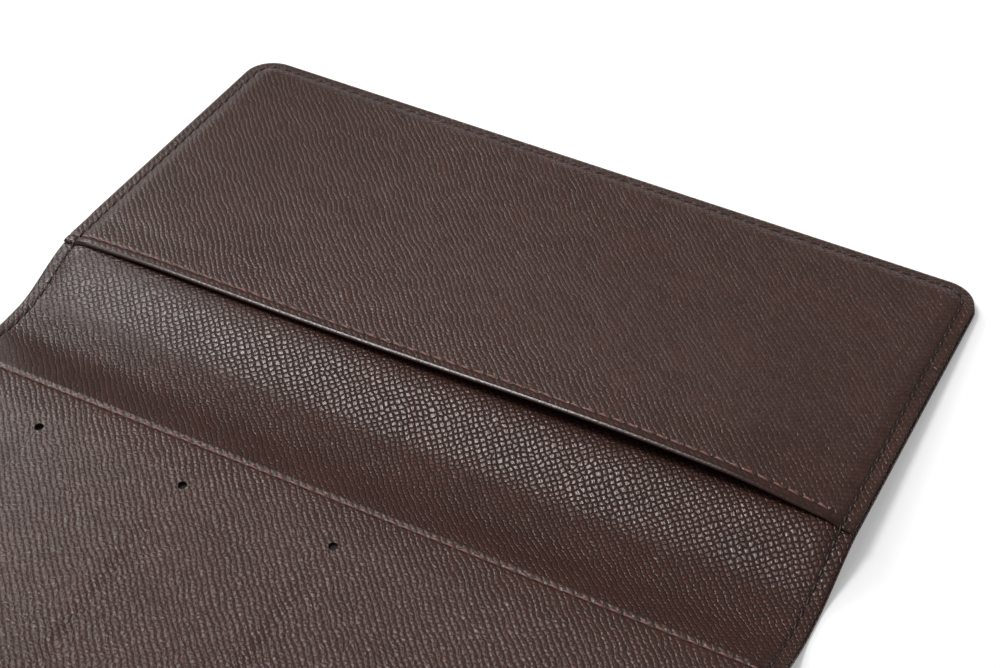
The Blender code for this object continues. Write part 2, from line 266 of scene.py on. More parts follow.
# %% [markdown]
# ## A sheet of leather
#
# Leather starts as a flat piece, is cut, and is then laid over a form. The same steps work here. A grid
# primitive is the flat piece. Its columns and rows are set closer where the leather bends or is stitched,
# which a subdivision modifier couldn't do. Each point then moves to where it lies on the cover, and
# Solidify gives the leather its thickness, thinner where it is skived. The flat place is kept as a UV map,
# in metres, so that the grain follows the leather round every edge and fold.


# %% Columns, rows and sheets
def stations(*stops):
    """Places from the first stop to the last. Each stop is a place and the step that leads on from it."""
    places = []
    for (start, step), (end, _) in zip(stops, stops[1:]):
        count = max(1, math.ceil(abs(end - start) / step - 1e-6))
        places += [mix(start, end, i / count) for i in range(count)]
    return np.array(sorted(places + [stops[-1][0]]))


INNER_BORDER = [
    (EDGE_INSET, 0.15 * MM),
    (RIM_END, 0.34 * MM),
    (SEAM_INSET - SEAM_HALF, 0.175 * MM),
    (SEAM_END, 0.5 * MM),
]
HEM_END = HEM_RADIUS - math.pi * HEM_RADIUS - (HEM_WIDTH - HEM_RADIUS)
OUTER_BORDER = [
    (HEM_END, 0.8 * MM),
    (HEM_RADIUS - math.pi * HEM_RADIUS, 0.12 * MM),
    (HEM_RADIUS, 0.6 * MM),
    (SEAM_INSET - SEAM_HALF, 0.175 * MM),
    (SEAM_END, 0.6 * MM),
]
ALONG_STEP = 0.75 * MM  # four cells to a stitch


def rows_of(border):
    """Rows of a pattern: the border's stations at both ends, and even rows between."""
    low = stations(*border, (FULL, ALONG_STEP), (LENGTH / 2, ALONG_STEP)) - LENGTH / 2
    return np.unique(np.round(np.concatenate([low, -low]), 9))


def columns_of(side, near, border, step):
    """Columns of a half: places near the spine, then on to the far edge's border."""
    far = HALF_WIDTH - stations(*border, (FULL, step), (HALF_WIDTH - near[-1], step))
    return np.unique(np.round(side * np.concatenate([near, far]), 9))


def leather(name, columns, rows, place, thickness, finish, relief, outward=1):
    """A grid laid out as the flat pattern, draped by place, and thickened away from its finished face.

    relief is the share of the grain that is left, 1 where nothing has pressed it."""
    bpy.ops.object.select_all(action="DESELECT")
    bpy.ops.mesh.primitive_grid_add(x_subdivisions=len(columns) - 1, y_subdivisions=len(rows) - 1, size=2)
    piece = bpy.context.object
    piece.name = piece.data.name = name
    mesh = piece.data
    spots = np.empty(3 * len(mesh.vertices))
    mesh.vertices.foreach_get("co", spots)
    spots = spots.reshape(-1, 3)
    x = columns[np.rint((spots[:, 0] + 1) / 2 * (len(columns) - 1)).astype(int)]
    y = rows[np.rint((spots[:, 1] + 1) / 2 * (len(rows) - 1)).astype(int)]
    corners = np.empty(len(mesh.loops), int)
    mesh.loops.foreach_get("vertex_index", corners)
    mesh.uv_layers[0].name = "pattern"
    mesh.uv_layers["pattern"].data.foreach_set("uv", np.column_stack([x, y])[corners].ravel())
    mesh.vertices.foreach_set("co", np.column_stack(place(x, y)).ravel())
    mesh.attributes.new("relief", "FLOAT", "POINT").data.foreach_set("value", relief(x, y))
    if outward < 0:
        mesh.flip_normals()
    plies = np.broadcast_to(thickness(x, y), x.shape)
    group = piece.vertex_groups.new(name="ply")
    for index, share in enumerate(plies / plies.max()):
        group.add([index], share, "REPLACE")
    faces = len(mesh.polygons)
    solid = piece.modifiers.new("thickness", "SOLIDIFY")
    solid.thickness = plies.max()
    solid.offset = -1
    solid.use_even_offset = True
    solid.vertex_group = "ply"
    bpy.ops.object.modifier_apply(modifier=solid.name)
    sides = np.full(len(mesh.polygons), 2)
    sides[:faces] = 0
    sides[faces : 2 * faces] = 1
    for material in finish:
        mesh.materials.append(material)
    mesh.polygons.foreach_set("material_index", sides)
    bpy.ops.object.shade_smooth_by_angle(angle=math.radians(40))
    print(f"{name}: {len(mesh.polygons)} faces")
    return piece


# %% [markdown]
# ## Adding nodes
#
# One small function adds a node, sets its properties and links what feeds it. Inputs are given in order
# where a node does sums, and by name elsewhere. A Map Range with a smooth step is used so often that its
# setting has a name. A colour is written as a hex number, as a paint chart gives it, and turned to linear
# light once.


# %% Nodes and colours
def linear(hex_colour):
    channels = [int(hex_colour[i : i + 2], 16) / 255 for i in (0, 2, 4)]
    return tuple(c / 12.92 if c <= 0.04045 else ((c + 0.055) / 1.055) ** 2.4 for c in channels) + (1,)


SMOOTH_STEP = {"interpolation_type": "SMOOTHSTEP"}


def node(tree, kind, feeds=(), **settings):
    """Adds a node. feeds gives its inputs, as a list in order or as a dictionary by name.

    An input is a plain value, a socket, or a node whose first output is meant."""
    made = tree.nodes.new(kind)
    for name, value in settings.items():
        setattr(made, name, value)
    for name, value in feeds.items() if isinstance(feeds, dict) else enumerate(feeds):
        if isinstance(value, bpy.types.Node):
            value = value.outputs[0]
        if isinstance(value, bpy.types.NodeSocket):
            tree.links.new(value, made.inputs[name])
        else:
            made.inputs[name].default_value = value
    return made


# %% [markdown]
# ## Cross-grain calf
#
# The leather is calf that was pressed, while damp, with a plate engraved with two crossing sets of fine
# lines, then lacquered. The lines leave rows of small pebbles, a little over a millimetre apart and never
# quite alike, with creases between them that are darkened with painted shade, since a bump casts none. Each
# pebble catches the light by itself, so from afar the leather glitters where a light is mirrored and is
# matt elsewhere.
#
# The pattern is built on a slanted lattice: the place on the leather is measured across each set of lines,
# and those two numbers are the coordinates of a Voronoi texture, whose cells are the pebbles. A slow noise
# bends the lattice. On the panels the pebbles partly run together into ridges along the first set of lines.
# A fine noise on the same lattice draws hair lines over every pebble and breaks the ridges.

# %% The grain's sizes
LINE_ANGLES = (43, -54)  # degrees from across the cover
LINE_PITCHES = (1.15 * MM, 1.03 * MM)
LINE_BEND = 1.3 * MM  # how far the lines wander
LINE_BEND_SIZE = 4 * MM
STRETCH = 4 * MM  # how far the hide was stretched, here and there
STRETCH_SIZE = 45 * MM
UNEVEN = 0.36  # how far the pebbles stray from even rows
LOWEST_PEBBLE = 0.78  # of the height of the highest
CREASE_BOTTOM = 0.01  # half the width of a crease's darkest line of painted shade, as a share of a pebble
HAIRS = (3.0, 1.4, 1)  # fine lines to a pebble, across and along the first set of lines
HAIR_SHARE = 0.45  # of the grain's depth
RIDGE_TOP = 0.1  # half the width of a ridge's top, as a share of the pitch
RIDGE_SIDE = (0.36, 0.48)  # a ridge turns into crease between these shares of the pitch from its middle
RIDGE_SADDLE = 0.6  # height of a ridge where two of its pebbles meet
BREAK_NOISE = (0.34, 0.6)  # a ridge is broken where the fine noise is low, and whole where it is high
BREAK_SHARE = 0.5  # of a ridge's height is lost where it breaks


def wandering(tree, flat, amount, size):
    """The place on the leather, moved by a slow noise."""
    drift = node(tree, "ShaderNodeTexNoise", {"Vector": flat, "Scale": 1 / size, "Detail": 2})
    drift = drift.outputs["Color"]
    swing = node(tree, "ShaderNodeVectorMath", [drift, (0.5, 0.5, 0.5)], operation="SUBTRACT")
    return node(tree, "ShaderNodeVectorMath", [swing, (amount,) * 3, flat], operation="MULTIPLY_ADD")


def cross_grain(tree, flat, crease, flank, crown, ridged):
    """Height of the grain, how far out of the creases a point is, and a chance value for its pebble.

    crease is half the width of a crease and flank the width of a pebble's side, as shares of a pebble.
    crown is how round its top is. ridged is how far the pebbles run together into ridges, from 0 to 1."""
    bent = wandering(tree, wandering(tree, flat, STRETCH, STRETCH_SIZE), LINE_BEND, LINE_BEND_SIZE)
    across = []
    for angle, pitch in zip(LINE_ANGLES, LINE_PITCHES):
        slant = math.radians(angle)
        direction = (-math.sin(slant) / pitch, math.cos(slant) / pitch, 0)
        measured = node(tree, "ShaderNodeVectorMath", [bent, direction], operation="DOT_PRODUCT")
        across.append(measured.outputs["Value"])
    lattice = node(tree, "ShaderNodeCombineXYZ", across)
    feeds = {"Vector": lattice, "Scale": 1, "Randomness": UNEVEN}
    middle = node(tree, "ShaderNodeTexVoronoi", feeds, voronoi_dimensions="2D", feature="F1")
    edge = node(tree, "ShaderNodeTexVoronoi", feeds, voronoi_dimensions="2D", feature="DISTANCE_TO_EDGE")
    chance = node(tree, "ShaderNodeSeparateColor", [middle.outputs["Color"]])
    finer = node(tree, "ShaderNodeVectorMath", [lattice, HAIRS], operation="MULTIPLY")
    hairs = node(tree, "ShaderNodeTexNoise", {"Vector": finer, "Scale": 1, "Detail": 1})

    # a pebble is round on top and falls to its creases
    squared = node(tree, "ShaderNodeMath", [middle, middle], operation="MULTIPLY")
    crowned = node(tree, "ShaderNodeMath", [squared, -crown, 1], operation="MULTIPLY_ADD")
    side = node(tree, "ShaderNodeMapRange", [edge, 0, flank], **SMOOTH_STEP)
    cushion = node(tree, "ShaderNodeMath", [crowned, side], operation="MULTIPLY")

    # a ridge runs over a row of pebbles, lower between them, and breaks here and there
    from_ridge = node(tree, "ShaderNodeMath", [across[0], UNEVEN / 2], operation="SUBTRACT")
    from_ridge = node(tree, "ShaderNodeMath", [from_ridge, 0.5], operation="PINGPONG")
    ridge = node(tree, "ShaderNodeMapRange", [from_ridge, RIDGE_TOP, 0.5, 1, 0], **SMOOTH_STEP)
    saddle = node(tree, "ShaderNodeMapRange", [cushion, 0, 1, RIDGE_SADDLE, 1], **SMOOTH_STEP)
    ridge = node(tree, "ShaderNodeMath", [ridge, saddle], operation="MULTIPLY")
    whole = node(tree, "ShaderNodeMapRange", [hairs, *BREAK_NOISE, 1 - BREAK_SHARE, 1], **SMOOTH_STEP)
    ridge = node(tree, "ShaderNodeMath", [ridge, whole], operation="MULTIPLY")

    height = node(tree, "ShaderNodeMix", {"Factor": ridged, "A": cushion, "B": ridge})
    tall = node(tree, "ShaderNodeMapRange", [chance, 0, 1, LOWEST_PEBBLE, 1], **SMOOTH_STEP)
    height = node(tree, "ShaderNodeMath", [height, tall], operation="MULTIPLY")
    height = node(tree, "ShaderNodeMath", [hairs, HAIR_SHARE, height], operation="MULTIPLY_ADD")
    # clear is 0 in a crease and 1 on a pebble; grained_leather paints the creases' shade with it
    off_pebble = node(tree, "ShaderNodeMapRange", [edge, CREASE_BOTTOM, crease], **SMOOTH_STEP)
    off_ridge = node(tree, "ShaderNodeMapRange", [from_ridge, *RIDGE_SIDE, 1, 0], **SMOOTH_STEP)
    clear = node(tree, "ShaderNodeMix", {"Factor": ridged, "A": off_pebble, "B": off_ridge})
    return height, clear, chance


PRESSED_HEIGHT = 0.8  # of the grain's depth, where a plate or a crease has pressed it out
PRESSED_TONE = 0.3  # 0 for the crease's painted shade colour, 1 for the ridge colour
PRESSED_ROUGHNESS = 0.2
CREASE_ROUGHNESS = 0.85
TONE_SPREAD = 0.12  # how far a pebble may be lighter or darker than the rest
BLOTCH_SPREAD = 0.1
BLOTCH_SIZE = 14 * MM
PORE_SIZE = 0.35 * MM  # coarser than the pores of calf, which would be too fine to show
PORE_DEPTH = 0.01 * MM


def grained_leather(name, ridge_colour, painted_crease_shade, roughness, crease, flank, crown, ridged, depth):
    """Lacquered calf with a pressed cross grain: half-gloss pebbles over dull creases, darkened with
    painted shade.

    Where the relief attribute is low, the grain is pressed out and the lacquer is smooth."""
    made = bpy.data.materials.new(name)
    made.use_nodes = True
    tree = made.node_tree
    surface = tree.nodes["Principled BSDF"]
    flat = node(tree, "ShaderNodeUVMap", uv_map="pattern")
    relief = node(tree, "ShaderNodeAttribute", attribute_name="relief").outputs["Fac"]
    grain, clear, chance = cross_grain(tree, flat, crease, flank, crown, ridged)
    grain = node(tree, "ShaderNodeMix", {"Factor": relief, "A": PRESSED_HEIGHT, "B": grain})
    clear = node(tree, "ShaderNodeMix", {"Factor": relief, "A": PRESSED_TONE, "B": clear})
    # the creases get the painted crease shade, a darker colour for the shade that a bump can't cast; the
    # pebbles get the leather's own ridge colour
    colours = {"Factor": clear, "A": linear(painted_crease_shade), "B": linear(ridge_colour)}
    tone = node(tree, "ShaderNodeMix", colours, data_type="RGBA").outputs["Result"]
    blotch = node(tree, "ShaderNodeTexNoise", {"Vector": flat, "Scale": 1 / BLOTCH_SIZE, "Detail": 4})
    lightness = (1 - BLOTCH_SPREAD, 1 + BLOTCH_SPREAD)
    blotch = node(tree, "ShaderNodeMapRange", [blotch, 0.3, 0.7, *lightness], **SMOOTH_STEP)
    lightness = (1 - TONE_SPREAD, 1 + TONE_SPREAD)
    shade = node(tree, "ShaderNodeMapRange", [chance, 0, 1, *lightness], **SMOOTH_STEP)
    shade = node(tree, "ShaderNodeMath", [blotch, shade], operation="MULTIPLY")
    tinted = node(tree, "ShaderNodeHueSaturation", {"Color": tone, "Value": shade})
    tree.links.new(tinted.outputs["Color"], surface.inputs["Base Color"])
    dullness = node(tree, "ShaderNodeMapRange", [clear, 0, 1, CREASE_ROUGHNESS, roughness], **SMOOTH_STEP)
    dullness = node(tree, "ShaderNodeMix", {"Factor": relief, "A": PRESSED_ROUGHNESS, "B": dullness})
    tree.links.new(dullness.outputs["Result"], surface.inputs["Roughness"])
    pores = node(tree, "ShaderNodeTexNoise", {"Vector": flat, "Scale": 1 / PORE_SIZE, "Detail": 2})
    height = node(tree, "ShaderNodeMath", [pores, PORE_DEPTH / depth, grain], operation="MULTIPLY_ADD")
    bump = node(tree, "ShaderNodeBump", {"Height": height, "Distance": depth, "Strength": 1})
    tree.links.new(bump.outputs["Normal"], surface.inputs["Normal"])
    surface.inputs["IOR"].default_value = 1.5  # as clear lacquers have
    return made


# %% [markdown]
# ## Plain finishes
#
# The flesh side of the leather was split and shaved, so it is paler and dull, like suede. The cut edges are
# dyed and rubbed down, so they are dark with a low shine. Greyboard is pressed from waste paper, grey and
# matt. The bags behind the slits are thin cotton, coloured near black as painted shade for the dark inside
# the pockets that shows through the holes. All of them are dull with a fine fibre, so one noise gives both
# its tone and its height. The fibres are drawn coarser than they are, so that they show.


# %% Plain finishes
def plain_finish(name, colour, roughness, fibre, rough_height):
    """A dull material with a fibre of a given width, whose tone and height vary together."""
    made = bpy.data.materials.new(name)
    made.use_nodes = True
    tree = made.node_tree
    surface = tree.nodes["Principled BSDF"]
    place = node(tree, "ShaderNodeTexCoord").outputs["Object"]
    nap = node(tree, "ShaderNodeTexNoise", {"Vector": place, "Scale": 1 / fibre, "Detail": 4})
    light = node(tree, "ShaderNodeMapRange", {"Value": nap, "To Min": 0.75, "To Max": 1.25})
    shade = node(tree, "ShaderNodeHueSaturation", {"Color": linear(colour), "Value": light})
    tree.links.new(shade.outputs["Color"], surface.inputs["Base Color"])
    surface.inputs["Roughness"].default_value = roughness
    bump = node(tree, "ShaderNodeBump", {"Height": nap, "Distance": rough_height, "Strength": 1})
    tree.links.new(bump.outputs["Normal"], surface.inputs["Normal"])
    return made


# The crease colours below are painted shade for the creases; the lining's is near black, so that its
# creases stay dark in the bright channel.
outer_calf = grained_leather(
    "cross_grain_calf_outside",
    ridge_colour="472920",
    painted_crease_shade="1d110d",
    roughness=0.34,
    crease=0.14,
    flank=0.24,
    crown=2,
    ridged=0.4,
    depth=0.15 * MM,
)
panel_calf = grained_leather(
    "cross_grain_calf_panels",
    ridge_colour="44271e",
    painted_crease_shade="24130d",
    roughness=0.32,
    crease=0.13,
    flank=0.24,
    crown=2,
    ridged=0.4,
    depth=0.15 * MM,
)
lining_calf = grained_leather(
    "cross_grain_calf_lining",
    ridge_colour="47281f",
    painted_crease_shade="120906",
    roughness=0.28,  # glossier, and the render's noise filter would take the pebbles for mirrors
    crease=0.16,
    flank=0.23,
    crown=0.95,
    ridged=0.1,
    depth=0.17 * MM,
)
flesh_side = plain_finish("flesh_side_of_calf", "4b352c", 0.85, 0.25 * MM, 0.04 * MM)
dyed_edge = plain_finish("dyed_cut_edge", "2d201c", 0.6, 0.3 * MM, 0.02 * MM)
greyboard = plain_finish("greyboard", "8a8378", 0.9, 0.6 * MM, 0.05 * MM)
# The bags' near-black colour is painted shade for the dark inside the pockets, seen through the holes.
bag_cloth = plain_finish("bag_cloth", "15100e", 0.8, 0.3 * MM, 0.03 * MM)
FINISHES = {
    "outer": (outer_calf, flesh_side, dyed_edge),
    "lining": (lining_calf, flesh_side, dyed_edge),
    "panel": (panel_calf, flesh_side, dyed_edge),
}

# %% [markdown]
# ## The outer leather
#
# One hide covers the outside. Its margin is skived thin and turned in all round as a hem. It bends at the
# folds, so it is made in two halves that meet in the middle of the spine.

# %% Outer leather
HALVES = {"back": (1, "back_cover", "spine"), "front": (-1, "front_cover", "spine")}


def bend_over_fold(piece):
    """Bakes the piece's place into its mesh; it is not bent between its cover and the spine."""
    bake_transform(piece)


def outer_place(x, y):
    px, py, distance, along = plan(x, y, HEM_RADIUS)
    groove = seam_dip(distance, SEAM_INSET, along, BORDER_PITCH)
    return px, py, rise(px) + 2 * HEM_RADIUS * turned(distance, HEM_RADIUS)[1] + groove


def outer_thickness(x, y):
    _, _, distance, along = plan(x, y)
    skived = np.clip((distance - HEM_WIDTH) / (FULL - HEM_WIDTH), 0, 1)
    groove = seam_dip(distance, SEAM_INSET, along, BORDER_PITCH)
    return mix(mix(OUTER_EDGE, OUTER_THICK, skived), HEM_THICK, turned(distance, HEM_RADIUS)[1]) - groove


for half, (side, body, _) in HALVES.items():
    near = stations((0, 0.8 * MM), (CREST_X, 1.6 * MM))
    piece = leather(
        f"outer_leather_{half}",
        columns_of(side, near, OUTER_BORDER, 1.6 * MM),
        rows_of(OUTER_BORDER),
        outer_place,
        outer_thickness,
        FINISHES["outer"],
        border_relief,
        outward=-1,
    )
    bend_over_fold(piece)
    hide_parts(f"{body}_leather", "spine_leather")

# %% [markdown]
# ## The lining
#
# The lining is a thinner calf with the same grain, cut a little smaller than the cover, laid edge to edge
# over the turned hem and stitched through. Between the two halves it dips into the shallow channel of the
# spine, where it catches most of the light.


# %% Lining
def lining_place(x, y):
    px, py, distance, along = plan(x, y)
    return px, py, rise(px) + lining_top(px, distance) - border_dip(distance, along)


def lining_thickness(x, y):
    _, _, distance, along = plan(x, y)
    return mix(LINING_EDGE, LINING_THICK, in_full(distance)) - border_dip(distance, along)


for half, (side, _, _) in HALVES.items():
    near = stations((0, 0.6 * MM), (26 * MM, 1.6 * MM))
    piece = leather(
        f"lining_leather_{half}",
        columns_of(side, near, INNER_BORDER, 1.6 * MM),
        rows_of(INNER_BORDER),
        lining_place,
        lining_thickness,
        FINISHES["lining"],
        border_relief,
    )
    bend_over_fold(piece)
    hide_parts(f"{half}_lining", "spine_lining")

# %% [markdown]
# ## The diary pocket
#
# The pocket that holds the diary's back board is stitched down on three sides. Its fourth side, the mouth,
# is turned under and stitched, and after some use it stands open: most near one end, and not at all at the
# corners, where the border rows hold it. The strip between the mouth and its stitches is pressed smooth,
# and the fold itself is creased down to a narrow polished line.

# %% Diary pocket
MOUTH_HEM_END = MOUTH_RADIUS - math.pi * MOUTH_RADIUS - (MOUTH_HEM - MOUTH_RADIUS)
MOUTH_COUNT = round((LENGTH - 2 * SEAM_INSET) / PITCH)
MOUTH_PITCH = (LENGTH - 2 * SEAM_INSET) / MOUTH_COUNT


def pocket_lie(x, y):
    """Place from above, distance from the outline, place on the border row, distance from the mouth, and
    share of the way to the hem's ply."""
    from_mouth, under = turned(x - MOUTH_X, MOUTH_RADIUS)
    px, py, distance, along = plan(MOUTH_X + from_mouth, y)
    return px, py, distance, along, from_mouth, under


def pocket_dip(y, distance, along, from_mouth):
    mouth_groove = seam_dip(from_mouth, MOUTH_SEAM, y - LENGTH / 2 + SEAM_INSET, MOUTH_PITCH)
    bevel = MOUTH_BEVEL_SLOPE * np.maximum(MOUTH_BEVEL - from_mouth, 0)
    return border_dip(distance, along) + mouth_groove + bevel


def pocket_top(x, y, distance, from_mouth):
    """Height of the pocket's face before the stitches pull it in."""
    stack = mix(2 * MOUTH_RADIUS, PANEL_THICK, np.clip((from_mouth - MOUTH_HEM) / MOUTH_EASE, 0, 1))
    return rise(x) + lining_top(x, distance) + FIT + stack + gape(x, y)


def pocket_place(x, y):
    px, py, distance, along, from_mouth, under = pocket_lie(x, y)
    drop = mix(pocket_dip(y, distance, along, from_mouth), 2 * MOUTH_RADIUS, under)
    return px, py, pocket_top(px, py, distance, from_mouth) - drop


def pocket_thickness(x, y):
    _, _, distance, along, from_mouth, under = pocket_lie(x, y)
    ply = mix(MOUTH_PLY, PANEL_THICK, np.clip((from_mouth - MOUTH_HEM) / MOUTH_EASE, 0, 1))
    return mix(ply - pocket_dip(y, distance, along, from_mouth), MOUTH_HEM_THICK, under)


FOLD_RELIEF = 0.1  # share of the grain that is left on the fold
STRIP_RELIEF = 0.5  # and between the fold and the stitches


def pocket_relief(x, y):
    """The fold of the mouth and the strip up to its stitches are pressed smooth."""
    from_mouth = pocket_lie(x, y)[4]
    creased = mix(FOLD_RELIEF, STRIP_RELIEF, smooth((from_mouth - MOUTH_BEVEL) / SEAM_HALF))
    return border_relief(x, y) * mix(creased, 1, smooth((from_mouth - MOUTH_SEAM) / SEAM_HALF + 0.5))


mouth_columns = MOUTH_X + stations(
    (MOUTH_HEM_END, 0.8 * MM),
    (MOUTH_RADIUS - math.pi * MOUTH_RADIUS, 0.1 * MM),
    (MOUTH_RADIUS, 0.1 * MM),
    (MOUTH_BEVEL, 0.2 * MM),
    (MOUTH_BEVEL + 0.2 * MM, 0.4 * MM),
    (MOUTH_SEAM - SEAM_HALF, 0.175 * MM),
    (MOUTH_SEAM + SEAM_HALF, 0.7 * MM),
    (MOUTH_HEM + MOUTH_EASE, 0.7 * MM),
)
diary_pocket = leather(
    "diary_pocket_leather",
    columns_of(1, mouth_columns, INNER_BORDER, 0.9 * MM),
    rows_of(INNER_BORDER),
    pocket_place,
    pocket_thickness,
    FINISHES["panel"],
    pocket_relief,
)
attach(diary_pocket, "back_cover")
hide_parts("diary_pocket")

# %% [markdown]
# ## The card panel
#
# The front half's panel is stitched down on all four sides, over three thin pockets that lift it a little.
# Each card goes in through a slit, and a punched hole at each end of the slit keeps the leather from
# tearing. The slits are knife cuts that have closed again, so only a fine line and softened lips show, and
# one lip has sunk a little with use. The lips are part of the draped surface, and the cut itself is a
# Boolean with a thin blade and two punches.

# %% Card panel
HOLE_RADIUS = 0.9 * MM
HOLE_SIDES = 24
BLADE = 0.05 * MM
BLADE_TALL = 20 * MM
LIP_WIDTH = 0.6 * MM  # both lips roll down towards the cut over this width
LIP_DROP = 0.07 * MM
SAG_WIDTH = 3.2 * MM
SAG = 0.34 * MM  # how far the lip towards the top of the book sinks, halfway along the slit
PANEL_STRIP_RELIEF = 0.6  # share of the grain that is left between the edge and its stitches


def slit_dip(x, y):
    """How far the leather rolls down towards a slit or a punched hole."""
    dip = np.zeros_like(x)
    for height in SLIT_HEIGHTS:
        beyond = np.maximum(np.maximum(SLIT_START - np.abs(x), np.abs(x) - SLIT_END), 0)
        from_blade = np.hypot(beyond, y - height)
        nearest = np.where(np.abs(x) < (SLIT_START + SLIT_END) / 2, SLIT_START, SLIT_END)
        from_hole = np.hypot(np.abs(x) - nearest, y - height) - HOLE_RADIUS
        reach = np.maximum(np.minimum(from_blade, from_hole), 0)
        dip = np.maximum(dip, LIP_DROP * np.clip(1 - reach / LIP_WIDTH, 0, 1) ** 2)
        halfway = np.sin(math.pi * np.clip((np.abs(x) - SLIT_START) / (SLIT_END - SLIT_START), 0, 1))
        sunk = np.where(y > height, smooth(1 - (y - height) / SAG_WIDTH), 0)
        dip = np.maximum(dip, SAG * halfway * sunk)
    return dip


def panel_dip(x, y, distance, along):
    from_edge = np.abs(x) - PANEL_EDGE_X
    pull = PANEL_SEAM_DEPTH * seam_pull(y - LENGTH / 2 + SEAM_INSET, MOUTH_PITCH, PANEL_SEAM_EVENNESS)
    before = np.clip(1 - (PANEL_SEAM - from_edge) / PANEL_SEAM_REACH, 0, 1)
    beyond = smooth(1 - (from_edge - PANEL_SEAM) / SEAM_HALF)
    groove = pull * np.where(from_edge < PANEL_SEAM, before, beyond)
    return border_dip(distance, along) + rim_dip(from_edge) + groove + slit_dip(x, y)


def panel_top(x, distance):
    flare = PANEL_FLARE * np.clip(1 - (np.abs(x) - PANEL_EDGE_X) / PANEL_SEAM, 0, 1) * in_full(distance)
    return rise(x) + lining_top(x, distance) + FIT + swell(x, distance) + PANEL_THICK + flare


def panel_place(x, y):
    px, py, distance, along = plan(x, y)
    return px, py, panel_top(px, distance) - panel_dip(x, y, distance, along)


def panel_thickness(x, y):
    _, _, distance, along = plan(x, y)
    return PANEL_THICK - panel_dip(x, y, distance, along)


def panel_relief(x, y):
    """The strip between the edge and its stitches is pressed flatter."""
    from_edge = np.abs(x) - PANEL_EDGE_X
    return border_relief(x, y) * mix(PANEL_STRIP_RELIEF, 1, smooth((from_edge - PANEL_SEAM) / SEAM_HALF))


def punch_and_blade(height):
    """A slit's cutter: two punches and the blade between them, joined into one solid."""
    tools = []
    for end in (SLIT_START, SLIT_END):
        bpy.ops.mesh.primitive_cylinder_add(
            vertices=HOLE_SIDES, radius=HOLE_RADIUS, depth=BLADE_TALL, location=(-end, height, 0)
        )
        tools.append(bpy.context.object)
    bpy.ops.mesh.primitive_cube_add(size=1, location=(-(SLIT_START + SLIT_END) / 2, height, 0))
    blade = bpy.context.object
    blade.scale = (SLIT_END - SLIT_START, BLADE, 0.9 * BLADE_TALL)
    tools.append(blade)
    return tools


edge_columns = PANEL_EDGE_X + stations(
    (0, 0.15 * MM),
    (PANEL_SEAM - PANEL_SEAM_REACH, 0.25 * MM),
    (PANEL_SEAM, 0.15 * MM),
    (PANEL_SEAM + SEAM_HALF, 0.7 * MM),
    (12 * MM, 0.7 * MM),
)
SLIT_STEP = 0.14 * MM  # between the thirteen fine rows at each slit
SLIT_CLEAR = 1.1 * MM  # the even rows stay this far from the fine ones
slit_rows = np.concatenate([height + np.arange(-6, 7) * SLIT_STEP for height in SLIT_HEIGHTS])
panel_rows = rows_of(INNER_BORDER)
clear_of_slits = np.abs(panel_rows[:, None] - np.array(SLIT_HEIGHTS)).min(axis=1) > SLIT_CLEAR
card_panel = leather(
    "card_panel_leather",
    columns_of(-1, edge_columns, INNER_BORDER, 0.9 * MM),
    np.sort(np.concatenate([panel_rows[clear_of_slits], slit_rows])),
    panel_place,
    panel_thickness,
    FINISHES["panel"],
    panel_relief,
)
for height in SLIT_HEIGHTS:
    for tool in punch_and_blade(height):
        cut = card_panel.modifiers.new("cut", "BOOLEAN")
        cut.operation = "DIFFERENCE"
        cut.object = tool
        bpy.context.view_layer.objects.active = card_panel
        bpy.ops.object.modifier_apply(modifier=cut.name)
        bpy.data.objects.remove(tool, do_unlink=True)
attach(card_panel, "front_cover")
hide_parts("card_panel")
print(f"card panel with its slits: {len(card_panel.data.polygons)} faces")

# %% [markdown]
# ## Boards and card pockets
#
# The boards are greyboard, hidden between the leathers, and the card pockets are thin cloth bags seen only
# through the slits. Their rigid solids have the right shape already, so they only get their materials.

# %% Finishes of the carried-over nodes
for name, finish in [("back_board", greyboard), ("front_board", greyboard)] + [
    (f"card_pocket_{level}", bag_cloth) for level in ("top", "middle", "bottom")
]:
    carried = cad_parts[name]
    carried.data.materials.clear()
    carried.data.materials.append(finish)

# %% [markdown]
# ## Thread
#
# The rows are sewn with a waxed linen thread of about 0.6 mm, three millimetres to the stitch. A stitch is
# modelled once, as a stretched sphere whose ends dive into the leather, together with a near-black plug at
# the hole that the needle left: painted shade for the hole's darkness. Each row is then laid along its
# path:
# every point of every stitch is moved to its own place on the path, so stitches bend round corners and step
# over edges.

# %% One stitch and one needle hole
THREAD_WIDTH = 0.58 * MM
STITCH_SHOWN = 0.86  # of the pitch
DIVE = 0.3 * MM  # how far a stitch's ends go down
HOLE_WIDTH = 0.6 * MM
HOLE_LENGTH = 0.72 * MM
HOLE_DEEP = 0.24 * MM
HOLE_SUNK = 0.09 * MM


def template(obj):
    """The points and faces of a primitive, which is then removed."""
    points = np.array([obj.matrix_world @ v.co for v in obj.data.vertices])
    faces = [list(p.vertices) for p in obj.data.polygons]
    bpy.data.objects.remove(obj, do_unlink=True)
    return points, faces


bpy.ops.object.select_all(action="DESELECT")
bpy.ops.mesh.primitive_uv_sphere_add(segments=8, ring_count=7, radius=0.5, rotation=(0, math.pi / 2, 0))
bpy.context.view_layer.update()
stitch_points, stitch_faces = template(bpy.context.object)
bpy.ops.mesh.primitive_cylinder_add(vertices=8, radius=0.5, depth=1)
bpy.context.view_layer.update()
hole_points, hole_faces = template(bpy.context.object)
print(f"a stitch has {len(stitch_faces)} faces and a needle hole {len(hole_faces)}")


# %% A row of stitches along a path
def thread_finish(name, colour):
    """Waxed, dyed linen thread: a twisted strand with a dull shine, its twist drawn as a coarse fibre."""
    return plain_finish(name, colour, 0.34, 0.15 * MM, 0.06 * MM)


dark_thread = thread_finish("waxed_linen_dark", "1f120e")
red_thread = thread_finish("waxed_linen_russet", "775049")
# A near-black plug in each needle hole: painted shade for the hole's darkness.
painted_hole_shade = plain_finish("painted_hole_shade", "0a0605", 0.95, 0.3 * MM, 0.01 * MM)


